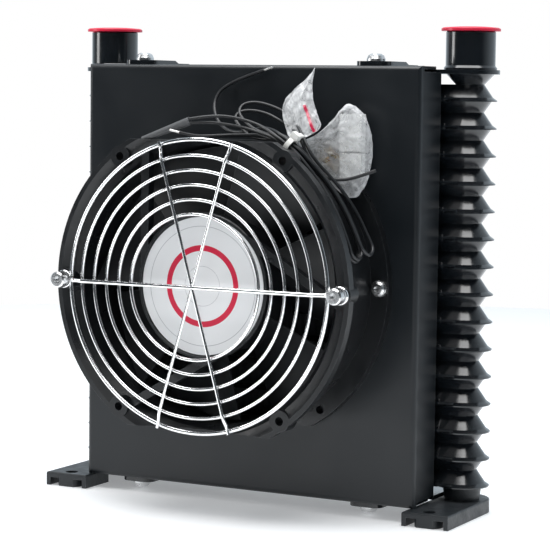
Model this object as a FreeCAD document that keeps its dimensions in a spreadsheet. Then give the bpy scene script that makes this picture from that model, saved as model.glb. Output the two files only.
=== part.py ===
import FreeCAD, Part
import math
import os
import re
import Sketcher
from FreeCAD import Placement, Rotation, Vector

# Fan-cooled plate oil cooler.  Millimetres, +Z up, fan towards -Y.  The origin is on
# the floor, midway between the two headers, in the plane of the cowl's front face.

SIZES = {
    # cowl: a folded sheet box, open at the back, that holds the fan ahead of the core
    "cowl_width": 200, "cowl_height": 228.5, "cowl_low": 7.5, "cowl_depth": 26,
    "sheet_thickness": 1.5, "cowl_bend": 2.5, "cowl_opening": 74, "relief_size": 3,
    "relief_start": 4, "cowl_screw_x": 70, "cowl_screw_y": 10, "slot_length": 7,
    "slot_width": 3,
    # core: flat oil tubes between two headers, with air fins between the tubes
    "core_mid_y": 42, "header_x": 109.5, "first_tube_z": 16.35, "tube_pitch": 14.52,
    "tube_count": 15, "tube_half_width": 12.5, "tube_half_thickness": 1.5,
    "lip_radius": 14.3, "lip_half_thickness": 0.55, "lip_droop": 1.0, "cup_radius": 12.1,
    "neck_radius": 7.5, "cup_stretch": 9, "oil_bore": 6, "oil_slot_half": 0.9,
    "fin_half_length": 86, "fin_half_depth": 13.5, "fin_wave": 4, "fin_gauge": 0.35,
    "plate_radius": 15.5, "plate_thickness": 2.2, "top_plate_z": 232.3,
    "bottom_plate_z": 8.2,
    # ports: G1/2 sockets welded over the headers, with lift-off caps
    "socket_radius": 13, "socket_top": 254.6, "weld_radius": 13.9, "thread_radius": 9.3,
    "thread_length": 13, "port_throat": 8, "mouth_radius": 10.7, "mouth_depth": 3, "cap_radius": 15.5,
    "cap_spigot": 10.4, "cap_top": 257, "cap_gap": 0.1,
    # feet
    "foot_half_width": 13, "foot_front": -7, "foot_round_y": 46.5, "foot_height": 7.4,
    "foot_wall": 2.5, "foot_top": 3, "foot_hole": 3.5, "foot_hole_y": -1,
    "foot_boss": 7.5, "foot_inner_end": 17, "foot_edge": 0.9,
    # fan: 172 x 150 x 51 mm frame
    "fan_height": 121.75, "fan_depth": 51, "fan_radius": 86, "fan_flat": 75,
    "fan_throat": 73, "flange_thickness": 5, "fan_hole_x": 81.25, "fan_hole": 2.25,
    "corner_hole_angle": 54, "ear_radius": 5.6, "ear_depth": 9, "strut_offset": 34.5, "strut_width": 4.5,
    "motor_face": 46.5, "motor_radius": 38, "motor_base": 3, "label_radius": 35.7,
    "bearing_radius": 7, "bearing_width": 5, "bearing_tube": 9.5, "shaft_radius": 2.5,
    "stator_radius": 26.5, "cup_inner": 30.5, "cup_outer": 33, "hub_radius": 36,
    "blade_tip": 71.5, "blade_count": 7, "blade_gauge": 1.8,
    # guard
    "guard_pitch": 7.5, "guard_inner": 37.5, "guard_outer": 75.5, "ring_wire": 0.9,
    "rim_wire": 1.2, "ring_plane": 55.65, "rim_plane": 53.6, "spoke_angle": 16,
    # screws
    "screw_radius": 2, "washer_radius": 4.4, "head_radius": 4.2, "nut_radius": 4.04,
    "nut_height": 3.2, "big_screw": 2.5, "big_head": 4.9, "lug_half_width": 9.5,
    "lug_gauge": 2.3, "lug_front": 3, "lug_end": 42, "lug_corner": 5,
    # leads
    "lead_radius": 0.9, "hank_radius": 4, "tip_radius": 0.6,
}

doc = FreeCAD.newDocument("OilCooler")
sheet = doc.addObject("Spreadsheet::Sheet", "Sizes")
for row, (alias, size) in enumerate(SIZES.items(), start=1):
    sheet.set(f"A{row}", alias)
    sheet.set(f"B{row}", str(size))
    sheet.setAlias(f"B{row}", alias)
doc.recompute()

UP = Vector(0, 0, 1)
ALONG_Y = Rotation(Vector(1, 0, 0), -90)
FLAT_OUT = Rotation(Vector(0, 1, 0), 30) * ALONG_Y
FUZZ = 0.001
NODES = []


def size(alias):
    """One driving dimension, as a number."""
    return float(sheet.get(alias))


def bound(text):
    """An expression on the sheet's aliases, with each alias named in full."""
    return re.sub(r"\b([a-z]+_[a-z_]+)\b", r"Sizes.\1", text)


def node(thing, label):
    """Names a finished sub-part and lists it for export."""
    thing.Label = label
    NODES.append(thing)
    return thing


def place(thing, x="0", y="0", z="0"):
    """Binds where a finished object stands."""
    for axis, text in zip("xyz", (x, y, z)):
        thing.setExpression(f"Placement.Base.{axis}", bound(text))
    return thing


# ---- Part primitives and booleans -------------------------------------------------

def primitive(kind, at, turn=Rotation(), **sizes):
    thing = doc.addObject(kind, kind.split("::")[1])
    thing.Placement = Placement(Vector(), turn)
    for key, text in sizes.items():
        thing.setExpression(key, bound(text))
    return place(thing, *at)


def box(x, y, z):
    """A block between three pairs of expressions."""
    sides = {"Length": x, "Width": y, "Height": z}
    spans = {key: f"({high}) - ({low})" for key, (low, high) in sides.items()}
    return primitive("Part::Box", (x[0], y[0], z[0]), **spans)


def post(radius, x, y, z):
    """An upright cylinder between two heights."""
    return primitive("Part::Cylinder", (x, y, z[0]), Radius=radius,
                     Height=f"({z[1]}) - ({z[0]})")


def rod(radius, x, y, z):
    """A cylinder along Y between two planes."""
    return primitive("Part::Cylinder", (x, y[0], z), ALONG_Y, Radius=radius,
                     Height=f"({y[1]}) - ({y[0]})")


def fuse(*things):
    result = doc.addObject("Part::MultiFuse", "Fusion")
    result.Shapes = list(things)
    return result


def cut(base, tool):
    result = doc.addObject("Part::Cut", "Cut")
    result.Base, result.Tool = base, tool
    return result


def common(base, tool):
    result = doc.addObject("Part::Common", "Common")
    result.Base, result.Tool = base, tool
    return result


def group(*things):
    """Separate solids kept together, which can be placed as one."""
    result = doc.addObject("Part::Compound", "Group")
    result.Links = list(things)
    return result


def mirrored(thing, normal=Vector(1, 0, 0), base=Vector()):
    result = doc.addObject("Part::Mirroring", "Mirror")
    result.Source, result.Normal, result.Base = thing, normal, base
    return result


def turned(thing, degrees):
    """A copy turned about the fan's axis; positive is anticlockwise from the front."""
    result = group(thing)
    result.Placement = Placement(Vector(), Rotation(Vector(0, 1, 0), -degrees))
    return result


def own_shape(shape, label):
    """A sub-part whose shape is worked out here rather than by a feature."""
    thing = doc.addObject("Part::Feature", "Shape")
    thing.Shape = shape
    return node(thing, label) if label else thing


# ---- PartDesign bodies ------------------------------------------------------------

def new_body():
    return doc.addObject("PartDesign::Body", "Body")


def new_sketch(body, role, offset="0"):
    """A sketch on one of the body's own origin planes."""
    planes = {feature.Role: feature for feature in body.Origin.OriginFeatures}
    sketch = body.newObject("Sketcher::SketchObject", "Sketch")
    sketch.AttachmentSupport = [(planes[role], "")]
    sketch.MapMode = "FlatFace"
    sketch.setExpression("AttachmentOffset.Base.z", bound(offset))
    return sketch


def hold(sketch, kind, element, point, text):
    """One bound constraint between the origin and a point."""
    index = sketch.addConstraint(Sketcher.Constraint(kind, -1, 1, element, point, 1.0))
    sketch.setExpression(f"Constraints[{index}]", bound(text))


def outline(sketch, points):
    """A closed run of straight edges with every corner held by the sheet."""
    first = sketch.GeometryCount
    count = len(points)
    ring = [Vector(math.cos(2 * math.pi * i / count), math.sin(2 * math.pi * i / count), 0)
            for i in range(count)]
    for i in range(count):
        sketch.addGeometry(Part.LineSegment(ring[i], ring[(i + 1) % count]), False)
    for i in range(count):
        after = first + (i + 1) % count
        sketch.addConstraint(Sketcher.Constraint("Coincident", first + i, 2, after, 1))
    for i, (across, along) in enumerate(points):
        hold(sketch, "DistanceX", first + i, 1, across)
        hold(sketch, "DistanceY", first + i, 1, along)
    return sketch


def circle(sketch, radius, x, y):
    index = sketch.addGeometry(Part.Circle(Vector(1, 1, 0), UP, 1), False)
    rule = sketch.addConstraint(Sketcher.Constraint("Radius", index, 1.0))
    sketch.setExpression(f"Constraints[{rule}]", bound(radius))
    hold(sketch, "DistanceX", index, 3, x)
    hold(sketch, "DistanceY", index, 3, y)


def pad(body, sketch, length, both_ways=False, back=False):
    feature = body.newObject("PartDesign::Pad", "Pad")
    feature.Profile = sketch
    feature.setExpression("Length", bound(length))
    feature.Midplane = both_ways
    feature.Reversed = back
    return feature


def pocket(body, sketch, length, both_ways=False, back=False):
    feature = body.newObject("PartDesign::Pocket", "Pocket")
    feature.Profile = sketch
    feature.setExpression("Length", bound(length))
    feature.Midplane = both_ways
    feature.Reversed = back
    return feature


def fillet(body, base, radius, wanted):
    """Rounds the edges of a feature that a test on their bounding boxes picks out."""
    doc.recompute()
    names = [f"Edge{i}" for i, edge in enumerate(base.Shape.Edges, start=1)
             if wanted(edge.BoundBox)]
    feature = body.newObject("PartDesign::Fillet", "Fillet")
    feature.Base = (base, names)
    feature.setExpression("Radius", bound(radius))
    return feature


def turning(points, axis="V_Axis", role="XZ_Plane"):
    """A solid of revolution from a closed profile: about Z, or about Y with H_Axis."""
    body = new_body()
    sketch = outline(new_sketch(body, role), points)
    feature = body.newObject("PartDesign::Revolution", "Revolution")
    feature.Profile = sketch
    feature.ReferenceAxis = (sketch, [axis])
    feature.Angle = 360
    return body


def lathe(*points):
    """A turned piece about the fan's axis, from (y, radius) pairs."""
    return turning(points, "H_Axis", "YZ_Plane")


# ---- wires and leads --------------------------------------------------------------

def rounded_path(points, report=None):
    """Straight runs joined by tangent arcs, each as large as its two runs allow."""
    edges = []
    start = points[0]
    for before, corner, after in zip(points, points[1:], points[2:]):
        inward = (before - corner)
        outward = (after - corner)
        half_turn = (math.pi - inward.getAngle(outward)) / 2
        reach = 0.45 * min(inward.Length, outward.Length)
        radius = reach / math.tan(half_turn)
        if report:
            print(f"{report}: arc radius {radius:.1f}")
        inward.normalize()
        outward.normalize()
        middle = (inward + outward).normalize()
        tangent_in = corner + inward * reach
        tangent_out = corner + outward * reach
        depth = radius / math.cos(half_turn) - radius
        edges.append(Part.LineSegment(start, tangent_in).toShape())
        edges.append(Part.Arc(tangent_in, corner + middle * depth, tangent_out).toShape())
        start = tangent_out
    edges.append(Part.LineSegment(start, points[-1]).toShape())
    return Part.Wire(edges)


def swept(points, radius, report=None):
    """A round wire along a rounded path."""
    path = rounded_path(points, report)
    section = Part.Wire(Part.Circle(points[0], points[1] - points[0], radius).toShape())
    shape = path.makePipeShell([section], True, True)
    expected = math.pi * radius ** 2 * path.Length
    if abs(shape.Volume / expected - 1) > 0.01:
        raise ValueError(f"sweep volume {shape.Volume:.1f}, not {expected:.1f}")
    if report:
        print(f"{report}: length {path.Length:.1f}")
    return shape


# ---- cowl -------------------------------------------------------------------------

def make_cowl():
    """Front panel with four folded flanges, corner reliefs and the fan opening."""
    body = new_body()
    low, high = "cowl_low", "cowl_low + cowl_height"
    half = "cowl_width / 2"
    face = outline(new_sketch(body, "XZ_Plane"),
                   [(f"-{half}", low), (half, low), (half, high), (f"-{half}", high)])
    block = pad(body, face, "cowl_depth", back=True)
    block = fillet(body, block, "cowl_bend", lambda bounds: bounds.YMax < 0.01)
    inside = outline(new_sketch(body, "XZ_Plane", "-sheet_thickness"),
                     [(f"sheet_thickness - {half}", f"{low} + sheet_thickness"),
                      (f"{half} - sheet_thickness", f"{low} + sheet_thickness"),
                      (f"{half} - sheet_thickness", f"{high} - sheet_thickness"),
                      (f"sheet_thickness - {half}", f"{high} - sheet_thickness")])
    pocket(body, inside, "cowl_depth")
    opening = new_sketch(body, "XZ_Plane")
    circle(opening, "cowl_opening", "0", "fan_height")
    circle(opening, "fan_hole", "fan_hole_x", "fan_height")
    circle(opening, "fan_hole", "-fan_hole_x", "fan_height")
    pocket(body, opening, "3 * cowl_depth", both_ways=True)
    reliefs = new_sketch(body, "XZ_Plane", "-relief_start")
    for side in ("", "-"):
        for edge, inner in ((high, f"{high} - relief_size"), (low, f"{low} + relief_size")):
            outer_x, inner_x = f"{side}({half})", f"{side}({half} - relief_size)"
            outline(reliefs, [(outer_x, edge), (inner_x, edge), (inner_x, inner),
                              (outer_x, inner)])
    pocket(body, reliefs, "cowl_depth")
    holes = new_sketch(body, "XY_Plane")
    circle(holes, "big_screw + 0.25", "cowl_screw_x", "cowl_screw_y")
    circle(holes, "big_screw + 0.25", "-cowl_screw_x", "cowl_screw_y")
    near, far = "cowl_screw_y - slot_width / 2", "cowl_screw_y + slot_width / 2"
    outline(holes, [("-slot_length / 2", near), ("slot_length / 2", near),
                    ("slot_length / 2", far), ("-slot_length / 2", far)])
    pocket(body, holes, "4 * cowl_height", both_ways=True)
    node(body, "cowl")


def make_lug(flange_z, plate_z, way):
    """A strap from the cowl's flange to the core's end plate, rounded at its front."""
    body = new_body()
    gauge = f"{way} * lug_gauge"
    side = outline(new_sketch(body, "YZ_Plane"),
                   [("lug_front", flange_z), ("lug_front", f"{flange_z} + {gauge}"),
                    ("cowl_depth + 0.8", f"{flange_z} + {gauge}"),
                    ("core_mid_y - 11.7", f"{plate_z} + {gauge}"),
                    ("lug_end", f"{plate_z} + {gauge}"), ("lug_end", plate_z),
                    ("core_mid_y - 12.3", plate_z), ("cowl_depth + 0.2", flange_z)])
    strap = pad(body, side, "2 * lug_half_width", both_ways=True)
    front = size("lug_front") + 0.01
    fillet(body, strap, "lug_corner",
           lambda bounds: bounds.YMax < front and bounds.XLength < 0.01)
    hole = new_sketch(body, "XY_Plane")
    circle(hole, "big_screw + 0.25", "0", "cowl_screw_y")
    pocket(body, hole, "4 * cowl_height", both_ways=True)
    return body


def make_cowl_fixings():
    """Four lugs, and the screws and nuts that clamp them to the cowl's flanges."""
    cowl_top = "cowl_low + cowl_height"
    plate_top = "top_plate_z + plate_thickness"
    lugs, screws, nuts = [], [], []
    levels = ((cowl_top, plate_top, 1), ("cowl_low", "bottom_plate_z", -1))
    for flange_z, plate_z, way in levels:
        bearing = f"({flange_z} + {way} * lug_gauge)"
        seat = f"({flange_z} - {way} * sheet_thickness)"
        head = turning([("0", f"{bearing} + {way} * 4"), ("2.6", f"{bearing} + {way} * 3.9"),
                        ("4.1", f"{bearing} + {way} * 3"),
                        ("big_head", f"{bearing} + {way} * 1.2"), ("big_head", bearing),
                        ("big_screw", bearing), ("big_screw", f"{seat} - {way} * 5.5"),
                        ("0", f"{seat} - {way} * 6")])
        low = seat if way < 0 else f"{seat} - nut_height"
        nut = cut(primitive("Part::Prism", ("0", "0", low), Polygon="6",
                            Circumradius="nut_radius + 0.6", Height="nut_height"),
                  post("big_screw", "0", "0", (f"{low} - 1", f"{low} + 9")))
        lug = make_lug(flange_z, plate_z, way)
        for side in ("", "-"):
            x = f"{side}cowl_screw_x"
            lugs.append(place(group(lug), x))
            screws.append(place(group(head), x, "cowl_screw_y"))
            nuts.append(place(group(nut), x, "cowl_screw_y"))
    node(group(*lugs), "cowl_lugs")
    node(group(*screws), "cowl_screws")
    node(group(*nuts), "cowl_nuts")


# ---- core -------------------------------------------------------------------------

def stretched_ring(radius, z):
    """A round outline drawn out towards the core by the cup's stretch."""
    back = -size("cup_stretch")
    corners = [Vector(0, -radius, z), Vector(0, radius, z), Vector(back, radius, z),
               Vector(back, -radius, z)]
    outer = Part.Arc(corners[0], Vector(radius, 0, z), corners[1])
    inner = Part.Arc(corners[2], Vector(back - radius, 0, z), corners[3])
    return Part.Wire([outer.toShape(), Part.LineSegment(corners[1], corners[2]).toShape(),
                      inner.toShape(), Part.LineSegment(corners[3], corners[0]).toShape()])


def header_end(with_lower_cup):
    """One pressed end of an oil tube: a drooping lip between two conical cups."""
    half, edge = size("tube_pitch") / 2, size("lip_half_thickness")
    wide, neck = size("cup_radius"), size("neck_radius")
    sections = [stretched_ring(wide, -edge), stretched_ring(wide, edge),
                stretched_ring(neck, half)]
    if with_lower_cup:
        sections.insert(0, stretched_ring(neck, -half))
    cups = own_shape(Part.makeLoft(sections, True, True), None)
    lip = turning([("neck_radius", "-lip_half_thickness"),
                   ("cup_radius", "-lip_half_thickness"),
                   ("lip_radius", "-lip_half_thickness - lip_droop"),
                   ("lip_radius", "-lip_droop"), ("cup_radius", "lip_half_thickness"),
                   ("neck_radius", "lip_half_thickness")])
    return fuse(cups, lip)


def make_tube(with_lower_cup):
    """A flat oil tube with its lip and both header ends, hollow throughout."""
    flat = box(("-header_x", "header_x"), ("-tube_half_width", "tube_half_width"),
               ("-tube_half_thickness", "tube_half_thickness"))
    lip = box(("-header_x", "header_x"), ("-lip_radius", "lip_radius"),
              ("-lip_half_thickness", "lip_half_thickness"))
    clear = box(("header_x - cup_stretch", "header_x + 30"), ("-30", "30"), ("-30", "30"))
    clear = fuse(clear, mirrored(clear))
    end = place(group(header_end(with_lower_cup)), "header_x")
    solid = fuse(cut(flat, clear), lip, end, mirrored(end))
    low = "-tube_pitch" if with_lower_cup else "-oil_slot_half"
    bores = [post("oil_bore", x, "0", (low, "tube_pitch")) for x in ("header_x", "-header_x")]
    slot = box(("-header_x", "header_x"), ("1 - tube_half_width", "tube_half_width - 1"),
               ("-oil_slot_half", "oil_slot_half"))
    return cut(solid, fuse(slot, *bores))


def make_tubes():
    """The stack of oil tubes; the lowest stands on the feet and has no lower cup."""
    lowest, other = make_tube(False), make_tube(True)
    for index in range(int(size("tube_count"))):
        tube = group(other if index else lowest)
        place(tube, "0", "core_mid_y", f"first_tube_z + {index} * tube_pitch")
        node(tube, f"oil_tube_{index + 1:02d}")


def fin_shape(height):
    """A corrugated strip with flat crests, as tall as the gap that it fills."""
    wave, gauge = size("fin_wave"), size("fin_gauge")
    half, depth = size("fin_half_length"), size("fin_half_depth")
    crest = wave / 8
    under = []
    for index in range(int(half // wave) * 2):
        x = (index - int(half // wave)) * wave
        rise = height - gauge
        under += [(x - crest, 0), (x + crest, 0),
                  (x + wave / 2 - crest, rise), (x + wave / 2 + crest, rise)]
    over = [(x, z + gauge) for x, z in reversed(under)]
    ring = [Vector(x, -depth, z) for x, z in under + over]
    face = Part.Face(Part.makePolygon(ring + ring[:1]))
    return face.extrude(Vector(0, 2 * depth, 0))


def make_fins():
    """Air fins in every gap between tubes, and above and below the stack."""
    first, pitch, half = size("first_tube_z"), size("tube_pitch"), size("tube_half_thickness")
    levels = [first + index * pitch for index in range(int(size("tube_count")))]
    floors = [size("bottom_plate_z") + size("plate_thickness")] + [z + half for z in levels]
    roofs = [z - half for z in levels] + [size("top_plate_z")]
    strips = []
    for floor, roof in zip(floors, roofs):
        strip = own_shape(fin_shape(roof - floor), None)
        strip.Placement = Placement(Vector(0, size("core_mid_y"), floor), Rotation())
        strips.append(strip)
    node(group(*strips), "air_fins")


def make_end_plates():
    """The top plate joins the headers; the bottom plate lies between the feet."""
    top = ("top_plate_z", "top_plate_z + plate_thickness")
    last_neck = "first_tube_z + (tube_count - 0.5) * tube_pitch"
    strip = box(("-header_x", "header_x"),
                ("core_mid_y - plate_radius", "core_mid_y + plate_radius"), top)
    cup = turning([("0", last_neck), ("neck_radius", last_neck),
                   ("cup_radius + 0.5", "top_plate_z"), ("plate_radius", "top_plate_z"),
                   ("plate_radius", "top_plate_z + plate_thickness"),
                   ("0", "top_plate_z + plate_thickness")])
    ends = [place(group(cup), x, "core_mid_y") for x in ("header_x", "-header_x")]
    bores = [post("oil_bore", x, "core_mid_y", ("top_plate_z - 10", "top_plate_z + 10"))
             for x in ("header_x", "-header_x")]
    node(cut(fuse(strip, *ends), fuse(*bores)), "top_plate")
    low = ("bottom_plate_z", "bottom_plate_z + plate_thickness")
    reach = "header_x - 9.8"
    bottom = box((f"-({reach})", reach),
                 ("core_mid_y - plate_radius", "core_mid_y + plate_radius"), low)
    node(bottom, "bottom_plate")


def make_ports():
    """Threaded sockets over the headers, and the caps that close them."""
    base = "top_plate_z + plate_thickness"
    thread_low = "socket_top - mouth_depth - thread_length"
    socket = turning([("port_throat", base), ("weld_radius", base),
                      ("weld_radius", f"{base} + 1"), ("socket_radius", f"{base} + 2.2"),
                      ("socket_radius", "socket_top - 0.6"),
                      ("socket_radius - 0.6", "socket_top"), ("mouth_radius", "socket_top"),
                      ("mouth_radius", "socket_top - mouth_depth"),
                      ("thread_radius", "socket_top - mouth_depth"),
                      ("thread_radius", thread_low), ("port_throat", f"{thread_low} - 2")])
    under = "socket_top + cap_gap"
    cap = turning([("0", "cap_top"), ("8", "cap_top"), ("cap_radius - 0.9", "cap_top - 0.5"),
                   ("cap_radius", "cap_top - 1.1"), ("cap_radius", under),
                   ("cap_spigot", under), ("cap_spigot", "socket_top - mouth_depth + 0.4"),
                   ("cap_spigot - 1.4", "socket_top - mouth_depth + 0.4"),
                   ("cap_spigot - 1.4", "cap_top - 1.6"), ("0", "cap_top - 1.6")])
    for name, x in (("inlet", "header_x"), ("outlet", "-header_x")):
        node(place(group(socket), x, "core_mid_y"), f"{name}_port")
        node(place(group(cap), x, "core_mid_y"), f"{name}_cap")


def foot_outline(half_width, front, height):
    """A tongue with a square front and a round rear end."""
    x = (f"header_x - {half_width}", f"header_x + {half_width}")
    return fuse(box(x, (front, "foot_round_y"), height),
                post(half_width, "header_x", "foot_round_y", height))


def make_feet():
    """Cast channel feet: walls, a boss round the bolt hole, and a header spigot."""
    full = ("0", "foot_height")
    recess = ("-1", "foot_height - foot_top")
    outer = foot_outline("foot_half_width", "foot_front", full)
    inner = foot_outline("(foot_half_width - foot_wall)", "foot_front - 1", recess)
    gap = box(("0", "header_x - foot_half_width + foot_wall"), ("foot_inner_end", "99"), recess)
    rear_gap = box(("0", "header_x"), ("foot_round_y - 6", "99"), recess)
    boss = common(post("foot_boss", "header_x", "foot_hole_y", full), outer)
    spigot = primitive("Part::Cone", ("header_x", "core_mid_y", "foot_height"),
                       Radius1="cup_radius - 2.8", Radius2="cup_radius - 1.7",
                       Height="first_tube_z - lip_half_thickness - foot_height")
    under_tube = box(("0", "header_x - cup_stretch"), ("0", "99"),
                     ("first_tube_z - tube_half_thickness", "99"))
    channel = fuse(cut(outer, fuse(inner, gap, rear_gap)), boss, cut(spigot, under_tube))
    drilled = cut(channel, post("foot_hole", "header_x", "foot_hole_y", ("-1", "foot_height + 1")))
    doc.recompute()
    foot = doc.addObject("Part::Fillet", "Fillet")
    foot.Base = drilled
    top, edge = size("foot_height"), size("foot_edge")
    rim = size("foot_half_width") - 0.01
    foot.Edges = [(index, edge, edge)
                  for index, line in enumerate(drilled.Shape.Edges, start=1)
                  if all(abs(v.Z - top) < 0.01 for v in line.Vertexes)
                  and line.BoundBox.ZLength < 0.01
                  and max(abs(line.BoundBox.XMax - size("header_x")),
                          abs(line.BoundBox.XMin - size("header_x"))) > rim]
    node(foot, "right_foot")
    node(mirrored(foot), "left_foot")


# ---- fan, built about the Y axis and then raised -----------------------------------

def raised(thing, label):
    """Lifts a finished fan piece to the fan's height and lists it."""
    thing.setExpression("Placement.Base.z", "Sizes.fan_height")
    return node(thing, label)


def make_fan_frame():
    """Die-cast ring, three struts, motor base and bearing tube, in one casting."""
    face, rear_step = "-fan_depth", "-flange_thickness"
    body = lathe((face, "fan_radius - 2.5"), ("3.5 - fan_depth", "fan_throat + 4.6"),
                 ("8 - fan_depth", "fan_throat + 1.4"), ("14 - fan_depth", "fan_throat"),
                 ("0", "fan_throat"), ("0", "fan_radius"), (rear_step, "fan_radius"),
                 (rear_step, "fan_throat + 3.2"),
                 ("15 - fan_depth", "fan_throat + 3.2"), ("8 - fan_depth", "fan_throat + 4.6"),
                 ("5 - fan_depth", "fan_throat + 9"), ("5 - fan_depth", "fan_radius"),
                 (face, "fan_radius"))
    corner_x = "fan_hole_x * cos(corner_hole_angle * 1deg)"
    corner_z = "fan_hole_x * sin(corner_hole_angle * 1deg)"
    spots = [("fan_hole_x", "0"), ("-fan_hole_x", "0")]
    spots += [(f"{x}{corner_x}", f"{z}{corner_z}") for x in ("", "-") for z in ("", "-")]
    ears = new_sketch(body, "XZ_Plane", "fan_depth")
    for x, z in spots:
        circle(ears, "ear_radius", x, z)
    pad(body, ears, "ear_depth", back=True)
    flats = new_sketch(body, "XZ_Plane")
    for side in ("", "-"):
        near, far = f"{side}fan_flat", f"{side}1.3 * fan_flat"
        outline(flats, [("-fan_radius", near), ("fan_radius", near), ("fan_radius", far),
                        ("-fan_radius", far)])
    pocket(body, flats, "4 * fan_depth", both_ways=True)
    holes = new_sketch(body, "XZ_Plane")
    for x, z in spots:
        circle(holes, "fan_hole", x, z)
    pocket(body, holes, "4 * fan_depth", both_ways=True)
    strut = box(("-strut_offset - strut_width / 2", "strut_width / 2 - strut_offset"),
                ("-motor_face - 1", "4.5 - motor_face"), ("0", "fan_flat - 3"))
    struts = [turned(strut, angle) for angle in (0, 120, 240)]
    front = "-motor_face"
    base = lathe((front, "5.5"), (front, "label_radius + 0.3"),
                 (f"{front} - 1", "label_radius + 0.8"), (f"{front} - 1", "motor_radius - 0.5"),
                 (f"{front} - 0.4", "motor_radius"), (f"{front} + motor_base", "motor_radius"),
                 (f"{front} + motor_base", "bearing_tube"), ("-17", "bearing_tube"),
                 ("-17", "bearing_radius"), (f"{front} + motor_base", "bearing_radius"),
                 (f"{front} + motor_base", "5.5"))
    clear = rod("motor_radius - 1", "0", ("-60", "0"), "0")
    raised(fuse(body, base, cut(fuse(*struts), clear)), "fan_frame")


def make_motor():
    """Stator, bearings, shaft and the rotor cup that turns round them."""
    raised(rod("label_radius", "0", ("-motor_face - 0.3", "-motor_face"), "0"), "motor_label")
    core = rod("stator_radius", "0", ("-38", "-22"), "0")
    tube = rod("bearing_tube", "0", ("-40", "-20"), "0")
    slot = box(("-1.5", "1.5"), ("-40", "-20"), ("16", "stator_radius + 2"))
    slots = [turned(slot, 30 * index) for index in range(12)]
    raised(cut(core, fuse(tube, *slots)), "stator_core")
    coils = [lathe((near, "13"), (near, "23.5"), (f"{near} + {step}", "25"), (far, "25"),
                   (far, "12"), (f"{near} + {step}", "12"))
             for near, far, step in (("-41.6", "-38", "1.2"), ("-18.4", "-22", "-1.2"))]
    raised(group(*coils), "stator_windings")
    for name, near in (("front", "-43.4"), ("rear", "-22.5")):
        far = f"{near} + bearing_width"
        race = lathe((near, "shaft_radius + 0.03"), (near, "3.7"), (f"{near} + 0.6", "3.9"),
                     (f"{near} + 0.6", "5.6"), (near, "5.8"), (near, "bearing_radius"),
                     (far, "bearing_radius"), (far, "shaft_radius + 0.03"))
        raised(race, f"{name}_bearing")
    raised(rod("shaft_radius", "0", ("-44.8", "-11"), "0"), "motor_shaft")
    clip = cut(rod("4.2", "0", ("-44.3", "-43.7"), "0"),
               fuse(rod("shaft_radius", "0", ("-46", "-40"), "0"),
                    box(("-1.2", "1.2"), ("-46", "-40"), ("-9", "0"))))
    raised(clip, "shaft_clip")
    cup = lathe(("-41", "cup_inner"), ("-41", "cup_outer"), ("-11", "cup_outer"),
                ("-11", "shaft_radius"), ("-14.5", "shaft_radius"), ("-14.5", "6"),
                ("-13.4", "6"), ("-13.4", "cup_inner"))
    raised(cup, "rotor_cup")
    cage = lathe(("-38", "stator_radius + 0.6"), ("-38", "cup_inner"), ("-22", "cup_inner"),
                 ("-22", "stator_radius + 0.6"))
    raised(cage, "rotor_cage")


def blade_section(radius, half_chord, half_axial, camber, middle):
    """A thin cambered section in the plane at one distance from the axis."""
    gauge = size("blade_gauge")
    chord = Vector(2 * half_chord, 2 * half_axial, 0).normalize()
    across = Vector(-chord.y, chord.x, 0)

    def spot(along, off):
        flat = Vector(along * half_chord, along * half_axial, 0) + across * off
        return Vector(flat.x, flat.y + middle, radius)

    front = Part.Arc(spot(-1, -0.5), spot(0, camber - gauge / 2), spot(1, -0.5))
    back = Part.Arc(spot(1, 0.5), spot(0, camber + gauge / 2), spot(-1, 0.5))
    edges = [front.toShape(), Part.LineSegment(spot(1, -0.5), spot(1, 0.5)).toShape(),
             back.toShape(), Part.LineSegment(spot(-1, 0.5), spot(-1, -0.5)).toShape()]
    return Part.Wire(edges)


def make_impeller():
    """A hub ring pressed on the rotor cup, carrying pitched and cambered blades."""
    hub_in, hub_out, tip = size("cup_outer"), size("hub_radius"), size("blade_tip")
    loft = Part.makeLoft([blade_section(hub_in + 0.5, 14.5, 12.5, 2.5, -24.5),
                          blade_section(53, 22, 11.5, 4, -24.5),
                          blade_section(76, 31, 9.5, 5, -24.5)], True)
    span = Part.makeCylinder(tip, 60, Vector(0, -55, 0), Vector(0, 1, 0))
    span = span.cut(Part.makeCylinder(hub_in + 1, 60, Vector(0, -55, 0), Vector(0, 1, 0)))
    blade = loft.common(span)
    ring = Part.makeCylinder(hub_out, 30, Vector(0, -40, 0), Vector(0, 1, 0))
    ring = ring.cut(Part.makeCylinder(hub_in, 30, Vector(0, -40, 0), Vector(0, 1, 0)))
    count = int(size("blade_count"))
    blades = []
    for index in range(count):
        copy = blade.copy()
        copy.rotate(Vector(), Vector(0, 1, 0), 85.7 - index * 360 / count)
        blades.append(copy)
    impeller = own_shape(ring.fuse(blades).removeSplitter(), None)
    raised(impeller, "impeller")


# ---- guard ------------------------------------------------------------------------

def spoke_points(degrees, *steps):
    """Half a spoke from the middle outwards: a radius and a depth for each point."""
    along = Vector(math.sin(math.radians(degrees)), 0, math.cos(math.radians(degrees)))
    return [along * radius + Vector(0, depth, 0) for radius, depth in steps]


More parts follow.
